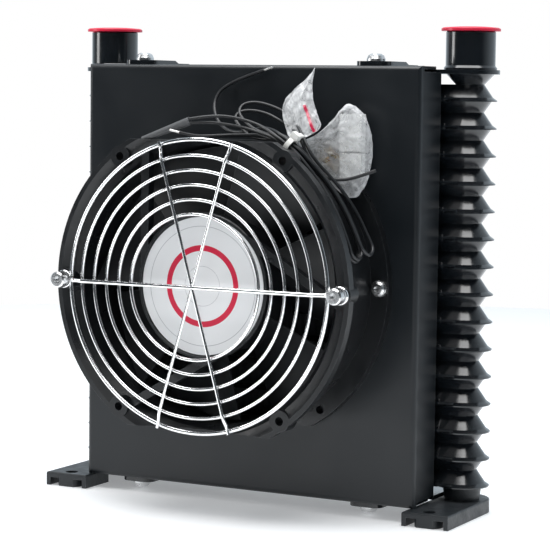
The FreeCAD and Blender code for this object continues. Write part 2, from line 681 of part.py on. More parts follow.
def make_guard():
    """Concentric wire rings, three spokes welded across their front, and screw eyes."""
    rings = []
    for index in range(5):
        radius = f"guard_inner + {index} * guard_pitch"
        rings.append(primitive("Part::Torus", ("0", "-ring_plane", "0"), ALONG_Y,
                               Radius1=radius, Radius2="ring_wire"))
    rings.append(primitive("Part::Torus", ("0", "-rim_plane", "0"), ALONG_Y,
                           Radius1="guard_outer", Radius2="rim_wire"))
    raised(group(*rings), "guard_rings")
    front, eye_wire = -size("ring_plane") - 1.8, 1.1
    rim, eye_y = front + 1.8, -size("fan_depth") - eye_wire - 0.1
    pieces = []
    crank = ((69, front), (73, rim), (77.2, rim))
    for degrees in (size("spoke_angle"), -size("spoke_angle")):
        halves = spoke_points(degrees + 180, *crank)[::-1] + spoke_points(degrees, *crank)
        pieces.append(swept(halves, size("ring_wire")))
    crank = ((68, front), (71.5, rim), (73.8, rim), (76, eye_y), (78, eye_y))
    halves = spoke_points(-90, *crank)[::-1] + spoke_points(90, *crank)
    bar = swept(halves, eye_wire)
    pieces += [Part.makeTorus(3.8, eye_wire, Vector(side * size("fan_hole_x"), eye_y, 0),
                              Vector(0, 1, 0)) for side in (-1, 1)]
    joined = bar.fuse(pieces, FUZZ)
    if joined.Volume < bar.Volume + pieces[0].Volume + pieces[1].Volume:
        raise ValueError(f"spokes joined to only {joined.Volume:.0f}")
    raised(own_shape(joined, None), "guard_spokes")


def make_fan_fixings():
    """Screws and nuts: the guard to the front flange, the fan to the cowl."""
    eye = "-fan_depth - 2.3"
    parts = {"guard_screws": [], "guard_washers": [], "guard_nuts": [], "fan_screws": [],
             "fan_nuts": []}
    flat = lathe((eye, "fan_hole"), (eye, "washer_radius"), (f"{eye} - 0.8", "washer_radius"),
                 (f"{eye} - 0.8", "fan_hole"))
    spring = lathe((f"{eye} - 0.8", "fan_hole"), (f"{eye} - 0.8", "washer_radius - 0.7"),
                   (f"{eye} - 1.9", "washer_radius - 0.7"), (f"{eye} - 1.9", "fan_hole"))
    seat, crown = f"{eye} - 1.9", "-59.5"
    head = lathe((f"{crown} + 2", "0"), (f"{crown} + 2", "1.7"), (crown, "1.9"),
                 (crown, "head_radius - 0.8"), (f"{crown} + 0.7", "head_radius"),
                 (seat, "head_radius"), (seat, "screw_radius"), ("-37.8", "screw_radius"),
                 ("-37.4", "0"))
    nut_seat = "ear_depth - fan_depth"
    rear = "-flange_thickness"
    wide = lathe((rear, "fan_hole"), (rear, "washer_radius"), (f"{rear} - 1.6", "washer_radius"),
                 (f"{rear} - 1.6", "fan_hole"))
    button = lathe((f"{rear} - 2.6", "0"), (f"{rear} - 2.6", "1.3"), (f"{rear} - 4.3", "1.5"),
                   (f"{rear} - 4", "2.9"), (f"{rear} - 2.8", "3.8"), (f"{rear} - 1.6", "4"),
                   (f"{rear} - 1.6", "screw_radius"), ("5.6", "screw_radius"), ("6", "0"))

    def nut(start):
        prism = primitive("Part::Prism", ("0", start, "0"), FLAT_OUT, Polygon="6",
                          Circumradius="nut_radius", Height="nut_height")
        return cut(prism, rod("screw_radius", "0", (f"{start} - 1", f"{start} + 9"), "0"))

    front_nut, rear_nut = nut(nut_seat), nut("sheet_thickness")
    for x in ("fan_hole_x", "-fan_hole_x"):
        parts["guard_screws"].append(place(group(head), x))
        parts["guard_washers"] += [place(group(ring), x) for ring in (flat, spring, wide)]
        parts["guard_nuts"].append(place(group(front_nut), x))
        parts["fan_screws"].append(place(group(button), x))
        parts["fan_nuts"].append(place(group(rear_nut), x))
    parts["washers"] = parts.pop("guard_washers")
    for label, pieces in parts.items():
        raised(group(*pieces), label)


# ---- leads, tie and bag of spares ---------------------------------------------------

SLEEVE = [Vector(-35.6, -48, 196.5), Vector(-8.7, -46, 206.4)]
LEAD_RUN_UPPER = [Vector(-8.9, -46, 207.4), Vector(0, -43.4, 209), Vector(8.5, -39.5, 209.2),
                  Vector(16.5, -35.5, 207.6), Vector(24, -33, 205.4)]
LEAD_RUN_LOWER = [Vector(-8.5, -45.6, 205.4), Vector(0, -42.4, 206), Vector(8, -38.6, 205),
                  Vector(16.5, -35.6, 203.4), Vector(25, -34.6, 202.4)]
HANK = [Vector(78.2, -26, 147), Vector(71.6, -27, 161.5), Vector(63.5, -30, 174.6),
        Vector(54.6, -34.5, 185.8), Vector(45, -38, 195), Vector(34, -36.5, 201),
        Vector(23, -31, 204.5)]
TAIL_UPPER = [Vector(24, -29, 203.6), Vector(12, -24.6, 200.6), Vector(-1.5, -19.5, 201),
              Vector(-11, -13.5, 206.4), Vector(-17.2, -6.6, 214.6), Vector(-15.4, -3, 222.4),
              Vector(-7.4, -2.2, 227), Vector(2.4, -2.2, 230.6), Vector(11, -2.2, 233.2)]
TAIL_LOWER = [Vector(27, -31, 200.6), Vector(18, -33, 199.6), Vector(9, -36.6, 199.4),
              Vector(1, -40.6, 198.9), Vector(-6, -45.4, 198.6), Vector(-13, -49.6, 200.6)]
LOOPS = [Vector(38, -33, 198.5), Vector(29, -31, 200.3), Vector(20, -28.6, 202.6),
         Vector(12.4, -25, 206.2), Vector(8.4, -21.6, 210.6), Vector(11.4, -18.4, 213.8),
         Vector(18.4, -17.6, 213.6), Vector(25.4, -18.4, 211), Vector(31.6, -20.4, 208),
         Vector(38, -23.6, 205), Vector(44, -28, 201.6)]
EARTH_END = [Vector(49.5, -36, 189.5), Vector(53.5, -32, 183), Vector(59, -26, 178.6),
             Vector(66, -21.5, 177.4), Vector(75, -19, 179.4), Vector(83.5, -17, 182.8)]


def make_leads():
    """Two leads out of a tapered sleeve and through a tied hank, and an earth lead's end."""
    start, end = SLEEVE
    along = end - start
    boot = Part.makeCone(1.5, 2.3, along.Length, start, along)
    own_shape(boot, "lead_sleeve")
    radius = size("lead_radius")
    runs = {"lead_run_upper": LEAD_RUN_UPPER, "lead_run_lower": LEAD_RUN_LOWER,
            "lead_tail_upper": TAIL_UPPER, "lead_tail_lower": TAIL_LOWER,
            "earth_lead_end": EARTH_END}
    for label, points in runs.items():
        own_shape(swept(points, radius, label), label)
    own_shape(swept(HANK, size("hank_radius"), "lead_hank"), "lead_hank")
    own_shape(swept(LOOPS, 2 * radius, "lead_loops"), "lead_loops")
    tips = []
    for points in (TAIL_UPPER, TAIL_LOWER):
        onward = (points[-1] - points[-2]).normalize()
        tips.append(Part.makeCylinder(size("tip_radius"), 5, points[-1], onward))
    own_shape(Part.makeCompound(tips), "lead_tips")


def make_tie():
    """A cable tie round the hank, with its head outwards and its tail towards the cowl."""
    middle = HANK[4]
    along = (HANK[3] - HANK[5]).normalize()
    inner, width, gauge = size("hank_radius"), 2.6, 0.9
    start = middle - along * (width / 2)
    band = Part.makeCylinder(inner + gauge, width, start, along)
    band = band.cut(Part.makeCylinder(inner, width, start, along))
    head = Part.makeBox(4.4, 5, 3, Vector(-2.2, -2.5, -1.5))
    tail = Part.makeBox(2.6, 8, 1.1, Vector(-1.3, 0, -0.5))
    turn = Rotation(Vector(1, 0, 0), along)
    lift = turn.multVec(Vector(0, 0, inner + gauge + 1))
    head.Placement = Placement(middle + lift, turn)
    tail.Placement = Placement(middle + lift, turn)
    own_shape(band.fuse([head, tail]).removeSplitter(), "cable_tie")


POUCH = [(34, 196), (47.6, 184.6), (55.2, 177.2), (62, 170.2), (71, 166.4), (78, 177),
         (79.5, 188), (78, 206), (73, 216.5), (63, 219), (52.5, 207.5), (43, 202)]
FLAP = [(32, 196.5), (27.2, 200), (24, 214.6), (31, 222.4), (39, 228.7), (44.5, 233),
        (42.5, 216.4), (49, 204), (43, 201)]


def slab(points, y_low, y_high, inset=0.0):
    """An upright slab from an outline in X and Z, drawn in towards its middle."""
    count = len(points)
    mid_x = sum(x for x, z in points) / count
    mid_z = sum(z for x, z in points) / count
    keep = 1 - inset
    ring = [Vector(mid_x + (x - mid_x) * keep, y_low, mid_z + (z - mid_z) * keep)
            for x, z in points]
    return Part.Face(Part.makePolygon(ring + ring[:1])).extrude(Vector(0, y_high - y_low, 0))


def make_bag():
    """A small film bag of spare connector parts, held in the cable tie."""
    film = slab(POUCH, -14, -6.4).cut(slab(POUCH, -13.4, -7, 0.06))
    neck = Part.makeCone(1.6, 3, 17, Vector(45.5, -30.2, 197.4), Vector(-0.04, 1, -0.06))
    film = film.fuse([slab(FLAP, -10.4, -9), neck])
    own_shape(film.removeSplitter(), "spares_bag")
    shells = []
    for x, z, wide, tall in ((60.5, 192, 12.5, 19), (61, 178.5, 12, 12.5)):
        shell = Part.makeBox(wide, 5, tall, Vector(x, -12.7, z))
        for column in range(2):
            well = Part.makeBox(wide / 2 - 1.5, 3.6, tall - 4,
                                Vector(x + 1 + column * wide / 2, -12, z + 4.01))
            shell = shell.cut(well)
        shells.append(shell)
    own_shape(Part.makeCompound(shells), "spare_shells")
    pins = []
    for index in range(4):
        pin = Part.makeBox(8, 1.8, 1.8, Vector(-4, -0.9, -0.9))
        pin = pin.cut(Part.makeBox(5, 1.2, 1.8, Vector(-3.2, -0.6, -0.5)))
        pin.Placement = Placement(Vector(56 - index % 2 * 1.5, -11.6 + index // 2 * 2.8,
                                         190.5 - index % 2 * 5),
                                  Rotation(Vector(0, 1, 0), 30 + 6 * index))
        pins.append(pin)
    own_shape(Part.makeCompound(pins), "spare_terminals")


make_cowl()
make_cowl_fixings()
make_tubes()
make_fins()
make_end_plates()
make_ports()
make_feet()
make_fan_frame()
make_motor()
make_impeller()
make_guard()
make_fan_fixings()
make_leads()
make_tie()
make_bag()
doc.recompute()

for thing in doc.Objects:
    if "Invalid" in thing.State or "Error" in thing.State:
        raise RuntimeError(f"{thing.Name} ({thing.Label}) failed: {thing.State}")
os.makedirs("parts", exist_ok=True)
for thing in NODES:
    shape = thing.Shape
    if shape.isNull() or not shape.isValid() or not shape.Solids:
        raise RuntimeError(f"{thing.Label} has no valid solid")
    shape.exportStep(os.path.join("parts", f"{thing.Label}.step"))
    print(f"{thing.Label:18s} solids {len(shape.Solids):3d}  volume {shape.Volume:10.1f}")
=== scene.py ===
import math

import bpy
from mathutils import Matrix, Quaternion, Vector, noise


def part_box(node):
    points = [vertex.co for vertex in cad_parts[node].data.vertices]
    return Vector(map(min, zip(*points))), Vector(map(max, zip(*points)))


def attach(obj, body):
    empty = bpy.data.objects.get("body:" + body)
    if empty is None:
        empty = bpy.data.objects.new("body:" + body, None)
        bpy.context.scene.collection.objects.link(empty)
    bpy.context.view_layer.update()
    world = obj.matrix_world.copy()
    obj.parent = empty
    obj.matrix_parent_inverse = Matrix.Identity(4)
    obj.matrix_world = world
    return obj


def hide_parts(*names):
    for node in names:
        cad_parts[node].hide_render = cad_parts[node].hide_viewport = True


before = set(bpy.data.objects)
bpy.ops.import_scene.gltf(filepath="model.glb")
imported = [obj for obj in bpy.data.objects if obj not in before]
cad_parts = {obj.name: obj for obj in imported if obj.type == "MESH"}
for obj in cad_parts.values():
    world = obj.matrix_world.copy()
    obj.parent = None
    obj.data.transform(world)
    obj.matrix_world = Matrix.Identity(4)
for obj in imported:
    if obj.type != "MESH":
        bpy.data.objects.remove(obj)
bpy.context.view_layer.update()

# ---- studio -------------------------------------------------------------------------
# A pale floor that ends where the room turns dark in front, a big soft box overhead and
# a white wall behind, seen by a long lens from the fan's right and a little above it.

CAMERA_PLACE = Vector((0.5341, -0.9814, 0.2225))
CAMERA_TARGET = Vector((0.0176, 0, 0.1251))
CAMERA_ROLL = math.radians(0.71)
LENS, SENSOR = 137.4, 36
SOFT_BOXES = {              # where each stands, what it faces, its width, height and power
    "overhead_soft_box": ((0.0, -0.15, 1.25), (0, 0, 0.1), 1.3, 1.1, 24),
    "left_soft_box": ((-1.1, -0.5, 0.55), (0, 0, 0.12), 0.35, 0.8, 5),
    "front_soft_box": ((0.15, -1.5, 0.9), (0, 0, 0.12), 0.9, 0.35, 2.2)}
DARK_IN_FRONT, WHITE_BEHIND = 0.05, 0.8     # the room's brightness at its two ends
DARK_ENDS, WHITE_STARTS = -0.25, 0.55       # and how far from front to back they lie
ROOM_TINT = (0.80, 0.91, 1.0)
FLOOR_RADIUS, FLOOR_MIDDLE, FLOOR_DROP = 0.95, (0, 0.15, 0), 0.0002
FLOOR_PAINT, FLOOR_GLOW, GLOW_STRENGTH = (0.86, 0.87, 0.88, 1), (0.96, 0.98, 1, 1), 0.28
MIX, FIRST, SECOND, MIXED = 0, 6, 7, 2      # the sockets of a Mix node that mixes colours


def deselect_all():
    """Nothing is selected, so the next operator acts on its own piece only."""
    bpy.ops.object.select_all(action="DESELECT")


def aim(thing, target, roll=0.0):
    """Turns a camera or lamp to look at a point."""
    look = (Vector(target) - thing.location).to_track_quat("-Z", "Y")
    thing.rotation_euler = (look @ Quaternion((0, 0, 1), roll)).to_euler()


def soft_box(name, place, target, width, height, power):
    """A rectangular studio lamp."""
    lamp = bpy.data.lights.new(name, "AREA")
    lamp.shape, lamp.size, lamp.size_y, lamp.energy = "RECTANGLE", width, height, power
    stand = bpy.data.objects.new(name, lamp)
    bpy.context.scene.collection.objects.link(stand)
    stand.location = place
    aim(stand, target)


camera = bpy.data.objects.new("camera", bpy.data.cameras.new("camera"))
bpy.context.scene.collection.objects.link(camera)
camera.data.sensor_width = SENSOR
camera.data.lens = LENS
camera.location = CAMERA_PLACE
aim(camera, CAMERA_TARGET, CAMERA_ROLL)
bpy.context.scene.camera = camera
bpy.context.scene.view_settings.view_transform = "Standard"

for lamp_name, lamp_setting in SOFT_BOXES.items():
    soft_box(lamp_name, *lamp_setting)


def put(tree, kind, inputs=(), **settings):
    """Adds a shader node, with its settings and the values of its sockets."""
    node = tree.nodes.new("ShaderNode" + kind)
    for name, value in settings.items():
        setattr(node, name, value)
    for name, value in dict(inputs).items():
        node.inputs[name].default_value = value
    return node


def join(tree, *pairs):
    """Links outputs to inputs."""
    for source, target in pairs:
        tree.links.new(source, target)


def mix_colours(tree, first=None, second=None):
    """A node that mixes two colours; one that isn't given comes in by a link."""
    node = put(tree, "Mix", data_type="RGBA")
    for socket, colour in ((FIRST, first), (SECOND, second)):
        if colour is not None:
            node.inputs[socket].default_value = (*colour, 1)
    return node


def room():
    """White behind, dark in front, and white wherever the camera sees past the floor."""
    world = bpy.data.worlds.new("room")
    bpy.context.scene.world = world
    world.use_nodes = True
    tree = world.node_tree
    background = tree.nodes["Background"]
    place = put(tree, "TexCoord")
    split = put(tree, "SeparateXYZ")
    depth = put(tree, "MapRange", {"From Min": DARK_ENDS, "From Max": WHITE_STARTS,
                                   "To Min": DARK_IN_FRONT, "To Max": WHITE_BEHIND})
    seen = put(tree, "LightPath")
    shade = put(tree, "Mix", {"B": 1.0})
    tint = mix_colours(tree, ROOM_TINT, (1, 1, 1))
    join(tree, (place.outputs["Generated"], split.inputs["Vector"]),
         (split.outputs["Y"], depth.inputs["Value"]),
         (seen.outputs["Is Camera Ray"], shade.inputs["Factor"]),
         (depth.outputs["Result"], shade.inputs["A"]),
         (shade.outputs["Result"], background.inputs["Strength"]),
         (seen.outputs["Is Camera Ray"], tint.inputs[MIX]),
         (tint.outputs[MIXED], background.inputs["Color"]))


room()


def new_material(name):
    """An empty material: itself, its node tree and its surface shader."""
    material = bpy.data.materials.new(name)
    material.use_nodes = True
    return material, material.node_tree, material.node_tree.nodes["Principled BSDF"]


deselect_all()
bpy.ops.mesh.primitive_circle_add(vertices=96, radius=FLOOR_RADIUS, fill_type="NGON", location=FLOOR_MIDDLE)
floor = bpy.context.object
floor.name = "floor"
floor.data.transform(Matrix.Translation(floor.location + Vector((0, 0, -FLOOR_DROP))))
floor.location = (0, 0, 0)
floor_paint, _, floor_shader = new_material("pale_floor")
floor_shader.inputs["Base Color"].default_value = FLOOR_PAINT
floor_shader.inputs["Roughness"].default_value = 0.55
floor_shader.inputs["Emission Color"].default_value = FLOOR_GLOW
floor_shader.inputs["Emission Strength"].default_value = GLOW_STRENGTH
floor.data.materials.append(floor_paint)

# ---- core: tubes, fins, end plates and headers ----------------------------------------
# Fifteen pressed aluminium tubes with bellows cups at both ends, corrugated fins between
# them and a plate top and bottom, brazed together and dipped in glossy black enamel.

GLOSS_BLACK = (0.0050, 0.0070, 0.0092)
FIN_BLACK = (0.009, 0.011, 0.013)
DUST_GREY = (0.30, 0.31, 0.32)
COAT_ROUGHNESS = 0.12


def new_group(name, inputs, outputs):
    """A shader node group with float inputs and outputs: its tree, its input and output nodes."""
    tree = bpy.data.node_groups.new(name, "ShaderNodeTree")
    for label, value in inputs:
        socket = tree.interface.new_socket(label, in_out="INPUT", socket_type="NodeSocketFloat")
        socket.default_value = value
    for label in outputs:
        tree.interface.new_socket(label, in_out="OUTPUT", socket_type="NodeSocketFloat")
    return tree, tree.nodes.new("NodeGroupInput"), tree.nodes.new("NodeGroupOutput")


def worn_and_highlit_edge_group():
    """Sharp edges broken up by a noise: worn paint, and on the cowl's bends a painted highlight."""
    tree, given, made = new_group("worn_and_highlit_edge", [("Reach", 0.0008), ("Patchiness", 400)], ["Mask"])
    round_off = put(tree, "Bevel", samples=4)
    flat = put(tree, "NewGeometry")
    agree = put(tree, "VectorMath", operation="DOT_PRODUCT")
    turn = put(tree, "MapRange", {"From Min": 0.985, "From Max": 0.86, "To Min": 0, "To Max": 1})
    place = put(tree, "TexCoord")
    patches = put(tree, "TexNoise", {"Detail": 3, "Roughness": 0.6})
    broken_up = put(tree, "MapRange", {"From Min": 0.42, "From Max": 0.62})
    mask = put(tree, "Math", operation="MULTIPLY")
    join(tree, (given.outputs["Reach"], round_off.inputs["Radius"]),
         (round_off.outputs[0], agree.inputs[0]), (flat.outputs["Normal"], agree.inputs[1]),
         (agree.outputs["Value"], turn.inputs["Value"]),
         (place.outputs["Object"], patches.inputs["Vector"]),
         (given.outputs["Patchiness"], patches.inputs["Scale"]),
         (patches.outputs[0], broken_up.inputs["Value"]),
         (turn.outputs[0], mask.inputs[0]), (broken_up.outputs[0], mask.inputs[1]),
         (mask.outputs[0], made.inputs["Mask"]))
    return tree


def settled_dust_group():
    """Thin dust on what faces up, thicker where a slow noise says so."""
    tree, given, made = new_group("settled_dust", [("Amount", 0.2)], ["Mask"])
    face = put(tree, "NewGeometry")
    split = put(tree, "SeparateXYZ")
    upward = put(tree, "MapRange", {"From Min": 0.25, "From Max": 1.0})
    place = put(tree, "TexCoord")
    drift = put(tree, "TexNoise", {"Scale": 55, "Detail": 5, "Roughness": 0.7})
    patch = put(tree, "MapRange", {"From Min": 0.35, "From Max": 0.75})
    both = put(tree, "Math", operation="MULTIPLY")
    scaled = put(tree, "Math", operation="MULTIPLY")
    join(tree, (face.outputs["Normal"], split.inputs[0]), (split.outputs["Z"], upward.inputs["Value"]),
         (place.outputs["Object"], drift.inputs["Vector"]), (drift.outputs[0], patch.inputs["Value"]),
         (upward.outputs[0], both.inputs[0]), (patch.outputs[0], both.inputs[1]),
         (both.outputs[0], scaled.inputs[0]), (given.outputs["Amount"], scaled.inputs[1]),
         (scaled.outputs[0], made.inputs["Mask"]))
    return tree


def skin_group():
    """A paint or moulding skin: a fine grain over a slow waviness, as height and as tone."""
    tree, given, made = new_group("skin", [("Grain", 900), ("Wave", 45)], ["Height", "Tone"])
    place = put(tree, "TexCoord")
    fine = put(tree, "TexNoise", {"Detail": 2, "Roughness": 0.5})
    slow = put(tree, "TexNoise", {"Detail": 2, "Roughness": 0.5})
    blend = put(tree, "Mix", {"Factor": 0.35})
    join(tree, (place.outputs["Object"], fine.inputs["Vector"]),
         (place.outputs["Object"], slow.inputs["Vector"]),
         (given.outputs["Grain"], fine.inputs["Scale"]), (given.outputs["Wave"], slow.inputs["Scale"]),
         (fine.outputs[0], blend.inputs["A"]), (slow.outputs[0], blend.inputs["B"]),
         (blend.outputs["Result"], made.inputs["Height"]), (slow.outputs[0], made.inputs["Tone"]))
    return tree


WORN_AND_HIGHLIT_EDGE, SETTLED_DUST, SKIN = worn_and_highlit_edge_group(), settled_dust_group(), skin_group()


def use_group(tree, group, **values):
    """Places a node group in a material with its own values."""
    node = tree.nodes.new("ShaderNodeGroup")
    node.node_tree = group
    for name, value in values.items():
        node.inputs[name.replace("_", " ").capitalize()].default_value = value
    return node


def finish_of(name, colour, roughness, grain, wave, depth, edge_wear_and_highlight=None, reach=0.0006,
              dust=0.0, spread=0.12, metal=0.0, coat=0.0):
    """An opaque finish: its colour and gloss, the skin's grain, wave and depth, the colour
    of its sharp edges (worn paint, and on the cowl a painted highlight) and how far they reach, and the dust
    on it."""
    material, tree, shader = new_material(name)
    skin = use_group(tree, SKIN, grain=grain, wave=wave)
    bump = put(tree, "Bump", {"Strength": 1.0, "Distance": depth})
    gloss = put(tree, "MapRange", {"From Min": 0.3, "From Max": 0.7, "To Min": roughness - spread / 2,
                                   "To Max": roughness + spread / 2})
    tone = mix_colours(tree, colour, [min(1, part * 1.25 + 0.001) for part in colour])
    join(tree, (skin.outputs["Height"], bump.inputs["Height"]), (bump.outputs[0], shader.inputs["Normal"]),
         (skin.outputs["Tone"], gloss.inputs["Value"]), (gloss.outputs[0], shader.inputs["Roughness"]),
         (skin.outputs["Tone"], tone.inputs[MIX]))
    last = tone.outputs[MIXED]
    for group, values, over in ((WORN_AND_HIGHLIT_EDGE, {"reach": reach}, edge_wear_and_highlight),
                                (SETTLED_DUST, {"amount": dust}, DUST_GREY if dust else None)):
        if over is None:
            continue
        mask = use_group(tree, group, **values)
        layer = mix_colours(tree, second=over)
        join(tree, (mask.outputs["Mask"], layer.inputs[MIX]), (last, layer.inputs[FIRST]))
        last = layer.outputs[MIXED]
    join(tree, (last, shader.inputs["Base Color"]))
    shader.inputs["Metallic"].default_value = metal
    shader.inputs["Coat Weight"].default_value = coat
    shader.inputs["Coat Roughness"].default_value = COAT_ROUGHNESS
    return material


def dress(material, *names):
    """Gives CAD nodes their finish."""
    for name in names:
        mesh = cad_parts[name].data
        mesh.materials.clear()
        mesh.materials.append(material)


tubes = sorted(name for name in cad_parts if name.startswith("oil_tube_"))
header_enamel = finish_of("header_enamel", GLOSS_BLACK, roughness=0.20, grain=260, wave=60, depth=0.00003,
                          edge_wear_and_highlight=(0.04, 0.045, 0.05), dust=0.04, coat=0.6)
dress(header_enamel, *tubes, "top_plate", "bottom_plate", "inlet_port", "outlet_port")
fin_enamel = finish_of("fin_enamel", FIN_BLACK, roughness=0.42, grain=500, wave=90, depth=0.00002,
                       edge_wear_and_highlight=(0.20, 0.21, 0.22), reach=0.0003)
dress(fin_enamel, "air_fins")

# ---- feet -----------------------------------------------------------------------------
# Two sand-cast aluminium feet, open underneath, painted with the core. The cast grain
# shows through the paint, and the rims are rubbed.

CAST_BLACK = (0.011, 0.014, 0.017)
foot_casting = finish_of("foot_casting", CAST_BLACK, roughness=0.42, grain=700, wave=130, depth=0.00022,
                         edge_wear_and_highlight=(0.09, 0.095, 0.10), reach=0.0008, dust=0.10, spread=0.18)
dress(foot_casting, "right_foot", "left_foot")

# ---- port caps ------------------------------------------------------------------------
# Soft red polythene plugs with a thin rolled rim, injection-moulded, and pushed into the
# ports to keep dirt out in transport.

CAP_RED = (0.56, 0.012, 0.045)


def cap_polythene():
    """Soft red plastic that lets a little light in."""
    material = finish_of("cap_polythene", CAP_RED, roughness=0.34, grain=500, wave=70, depth=0.00005,
                         spread=0.1)
    shader = material.node_tree.nodes["Principled BSDF"]
    shader.inputs["Subsurface Weight"].default_value = 0.15
    shader.inputs["Subsurface Radius"].default_value = (0.004, 0.0008, 0.0008)
    return material


dress(cap_polythene(), "inlet_cap", "outlet_cap")

# ---- cowl and its fixings -------------------------------------------------------------
# One folded steel panel, powder-coated black, with a painted highlight along its bent
# edges; four lugs under its flanges take zinc-plated screws and nuts.

COWL_BLACK = (0.0040, 0.0062, 0.0085)
ZINC = (0.66, 0.665, 0.67)

# the light grey edge colour here is a painted highlight on the cowl's bends, in patches
cowl_coat = finish_of("cowl_coat", COWL_BLACK, roughness=0.36, grain=1500, wave=30, depth=0.00003,
                      edge_wear_and_highlight=(0.16, 0.165, 0.17), reach=0.0007, dust=0.03, spread=0.08)
dress(cowl_coat, "cowl")
dress(header_enamel, "cowl_lugs")
zinc_plate = finish_of("zinc_plate", ZINC, roughness=0.26, grain=600, wave=150, depth=0.00003,
                       edge_wear_and_highlight=(0.40, 0.40, 0.39), reach=0.0003, metal=1)
dress(zinc_plate, "cowl_screws", "cowl_nuts", "guard_screws", "guard_nuts", "fan_screws", "fan_nuts",
      "washers")

# ---- fan frame, motor and impeller ----------------------------------------------------
# A die-cast aluminium ring with two flats and a waist, black e-coated; a shaded-pole
# motor on its struts with a printed foil label; a pressed steel rotor with seven blades.

FAN_BLACK = (0.0055, 0.0065, 0.0078)
BLADE_BLACK = (0.0095, 0.0105, 0.0120)
IRON = (0.34, 0.34, 0.35)
STEEL = (0.55, 0.56, 0.57)
WINDING_RED = (0.42, 0.12, 0.04)
LABEL_WHITE = (0.80, 0.81, 0.82)
LABEL_RED = (0.62, 0.015, 0.055)
LABEL_GREY = (0.42, 0.43, 0.45)
LABEL_RINGS = ((0.0182, 0.0212, LABEL_RED),     # each ring's inner and outer radius and ink
               (0.0308, 0.0311, LABEL_GREY), (0.0102, 0.0104, LABEL_GREY))

fan_coat = finish_of("fan_coat", FAN_BLACK, roughness=0.33, grain=800, wave=90, depth=0.00006,
                     edge_wear_and_highlight=(0.07, 0.075, 0.08), dust=0.04)
dress(fan_coat, "fan_frame")
blade_coat = finish_of("blade_coat", BLADE_BLACK, roughness=0.40, grain=700, wave=60, depth=0.00004,
                       edge_wear_and_highlight=(0.07, 0.07, 0.075))
dress(blade_coat, "impeller", "rotor_cup")
lamination = finish_of("lamination", IRON, roughness=0.45, grain=900, wave=200, depth=0.00004,
                       edge_wear_and_highlight=(0.55, 0.5, 0.45), metal=1)
dress(lamination, "stator_core", "rotor_cage")
ground_steel = finish_of("ground_steel", STEEL, roughness=0.22, grain=1200, wave=100, depth=0.00001,
                         edge_wear_and_highlight=(0.7, 0.7, 0.7), metal=1)
dress(ground_steel, "motor_shaft", "shaft_clip", "front_bearing", "rear_bearing")
winding_enamel = finish_of("winding_enamel", WINDING_RED, roughness=0.3, grain=2200, wave=120, depth=0.0001,
                           metal=0.6)
dress(winding_enamel, "stator_windings")


def printed_label():
    """A white foil disc: a plain red ring, two fine grey circles, and nothing written."""
    material, tree, shader = new_material("printed_label")
    low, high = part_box("motor_label")
    middle = (low + high) / 2
    place = put(tree, "TexCoord")
    centred = put(tree, "Mapping", {"Location": (-middle.x, 0, -middle.z), "Scale": (1, 0, 1)})
    radius = put(tree, "VectorMath", operation="LENGTH")
    join(tree, (place.outputs["Object"], centred.inputs["Vector"]), (centred.outputs[0], radius.inputs[0]))
    last = None
    for inner, outer, colour in LABEL_RINGS:
        past = put(tree, "Math", {1: inner}, operation="GREATER_THAN")
        within = put(tree, "Math", {1: outer}, operation="LESS_THAN")
        both = put(tree, "Math", operation="MULTIPLY")
        ink = mix_colours(tree, LABEL_WHITE, colour)
        join(tree, (radius.outputs["Value"], past.inputs[0]), (radius.outputs["Value"], within.inputs[0]),
             (past.outputs[0], both.inputs[0]), (within.outputs[0], both.inputs[1]),
             (both.outputs[0], ink.inputs[MIX]))
        if last:
            join(tree, (last, ink.inputs[FIRST]))
        last = ink.outputs[MIXED]
    skin = use_group(tree, SKIN, grain=400, wave=60)
    bump = put(tree, "Bump", {"Distance": 0.00004})
    join(tree, (last, shader.inputs["Base Color"]), (skin.outputs["Height"], bump.inputs["Height"]),
         (bump.outputs[0], shader.inputs["Normal"]))
    shader.inputs["Roughness"].default_value = 0.3
    return material


dress(printed_label(), "motor_label")

# ---- finger guard ---------------------------------------------------------------------
# Drawn steel wire rings, resistance-welded to three spokes that run right across, and
# bright chrome-plated. The level spoke ends in the two screw eyes.

CHROME = (0.86, 0.87, 0.88)

guard_chrome = finish_of("guard_chrome", CHROME, roughness=0.14, grain=1400, wave=260, depth=0.00002,
                         edge_wear_and_highlight=(0.60, 0.60, 0.60), reach=0.0003, spread=0.10, metal=1)
dress(guard_chrome, "guard_rings", "guard_spokes")

# ---- fan leads ------------------------------------------------------------------------
# Two thin PVC leads leave a ribbed rubber sleeve on the fan frame, double back twice down
# the frame's waist in a tied hank, and end in bare tinned strands. A short third one is
# the earth lead's end.

LEAD_RADIUS = 0.0009        # over the insulation
LEAD_BLACK = (0.012, 0.013, 0.015)
TINNED = (0.70, 0.70, 0.69)
SLEEVE_GREY = (0.075, 0.078, 0.082)
TIE_WHITE = (0.78, 0.78, 0.75)
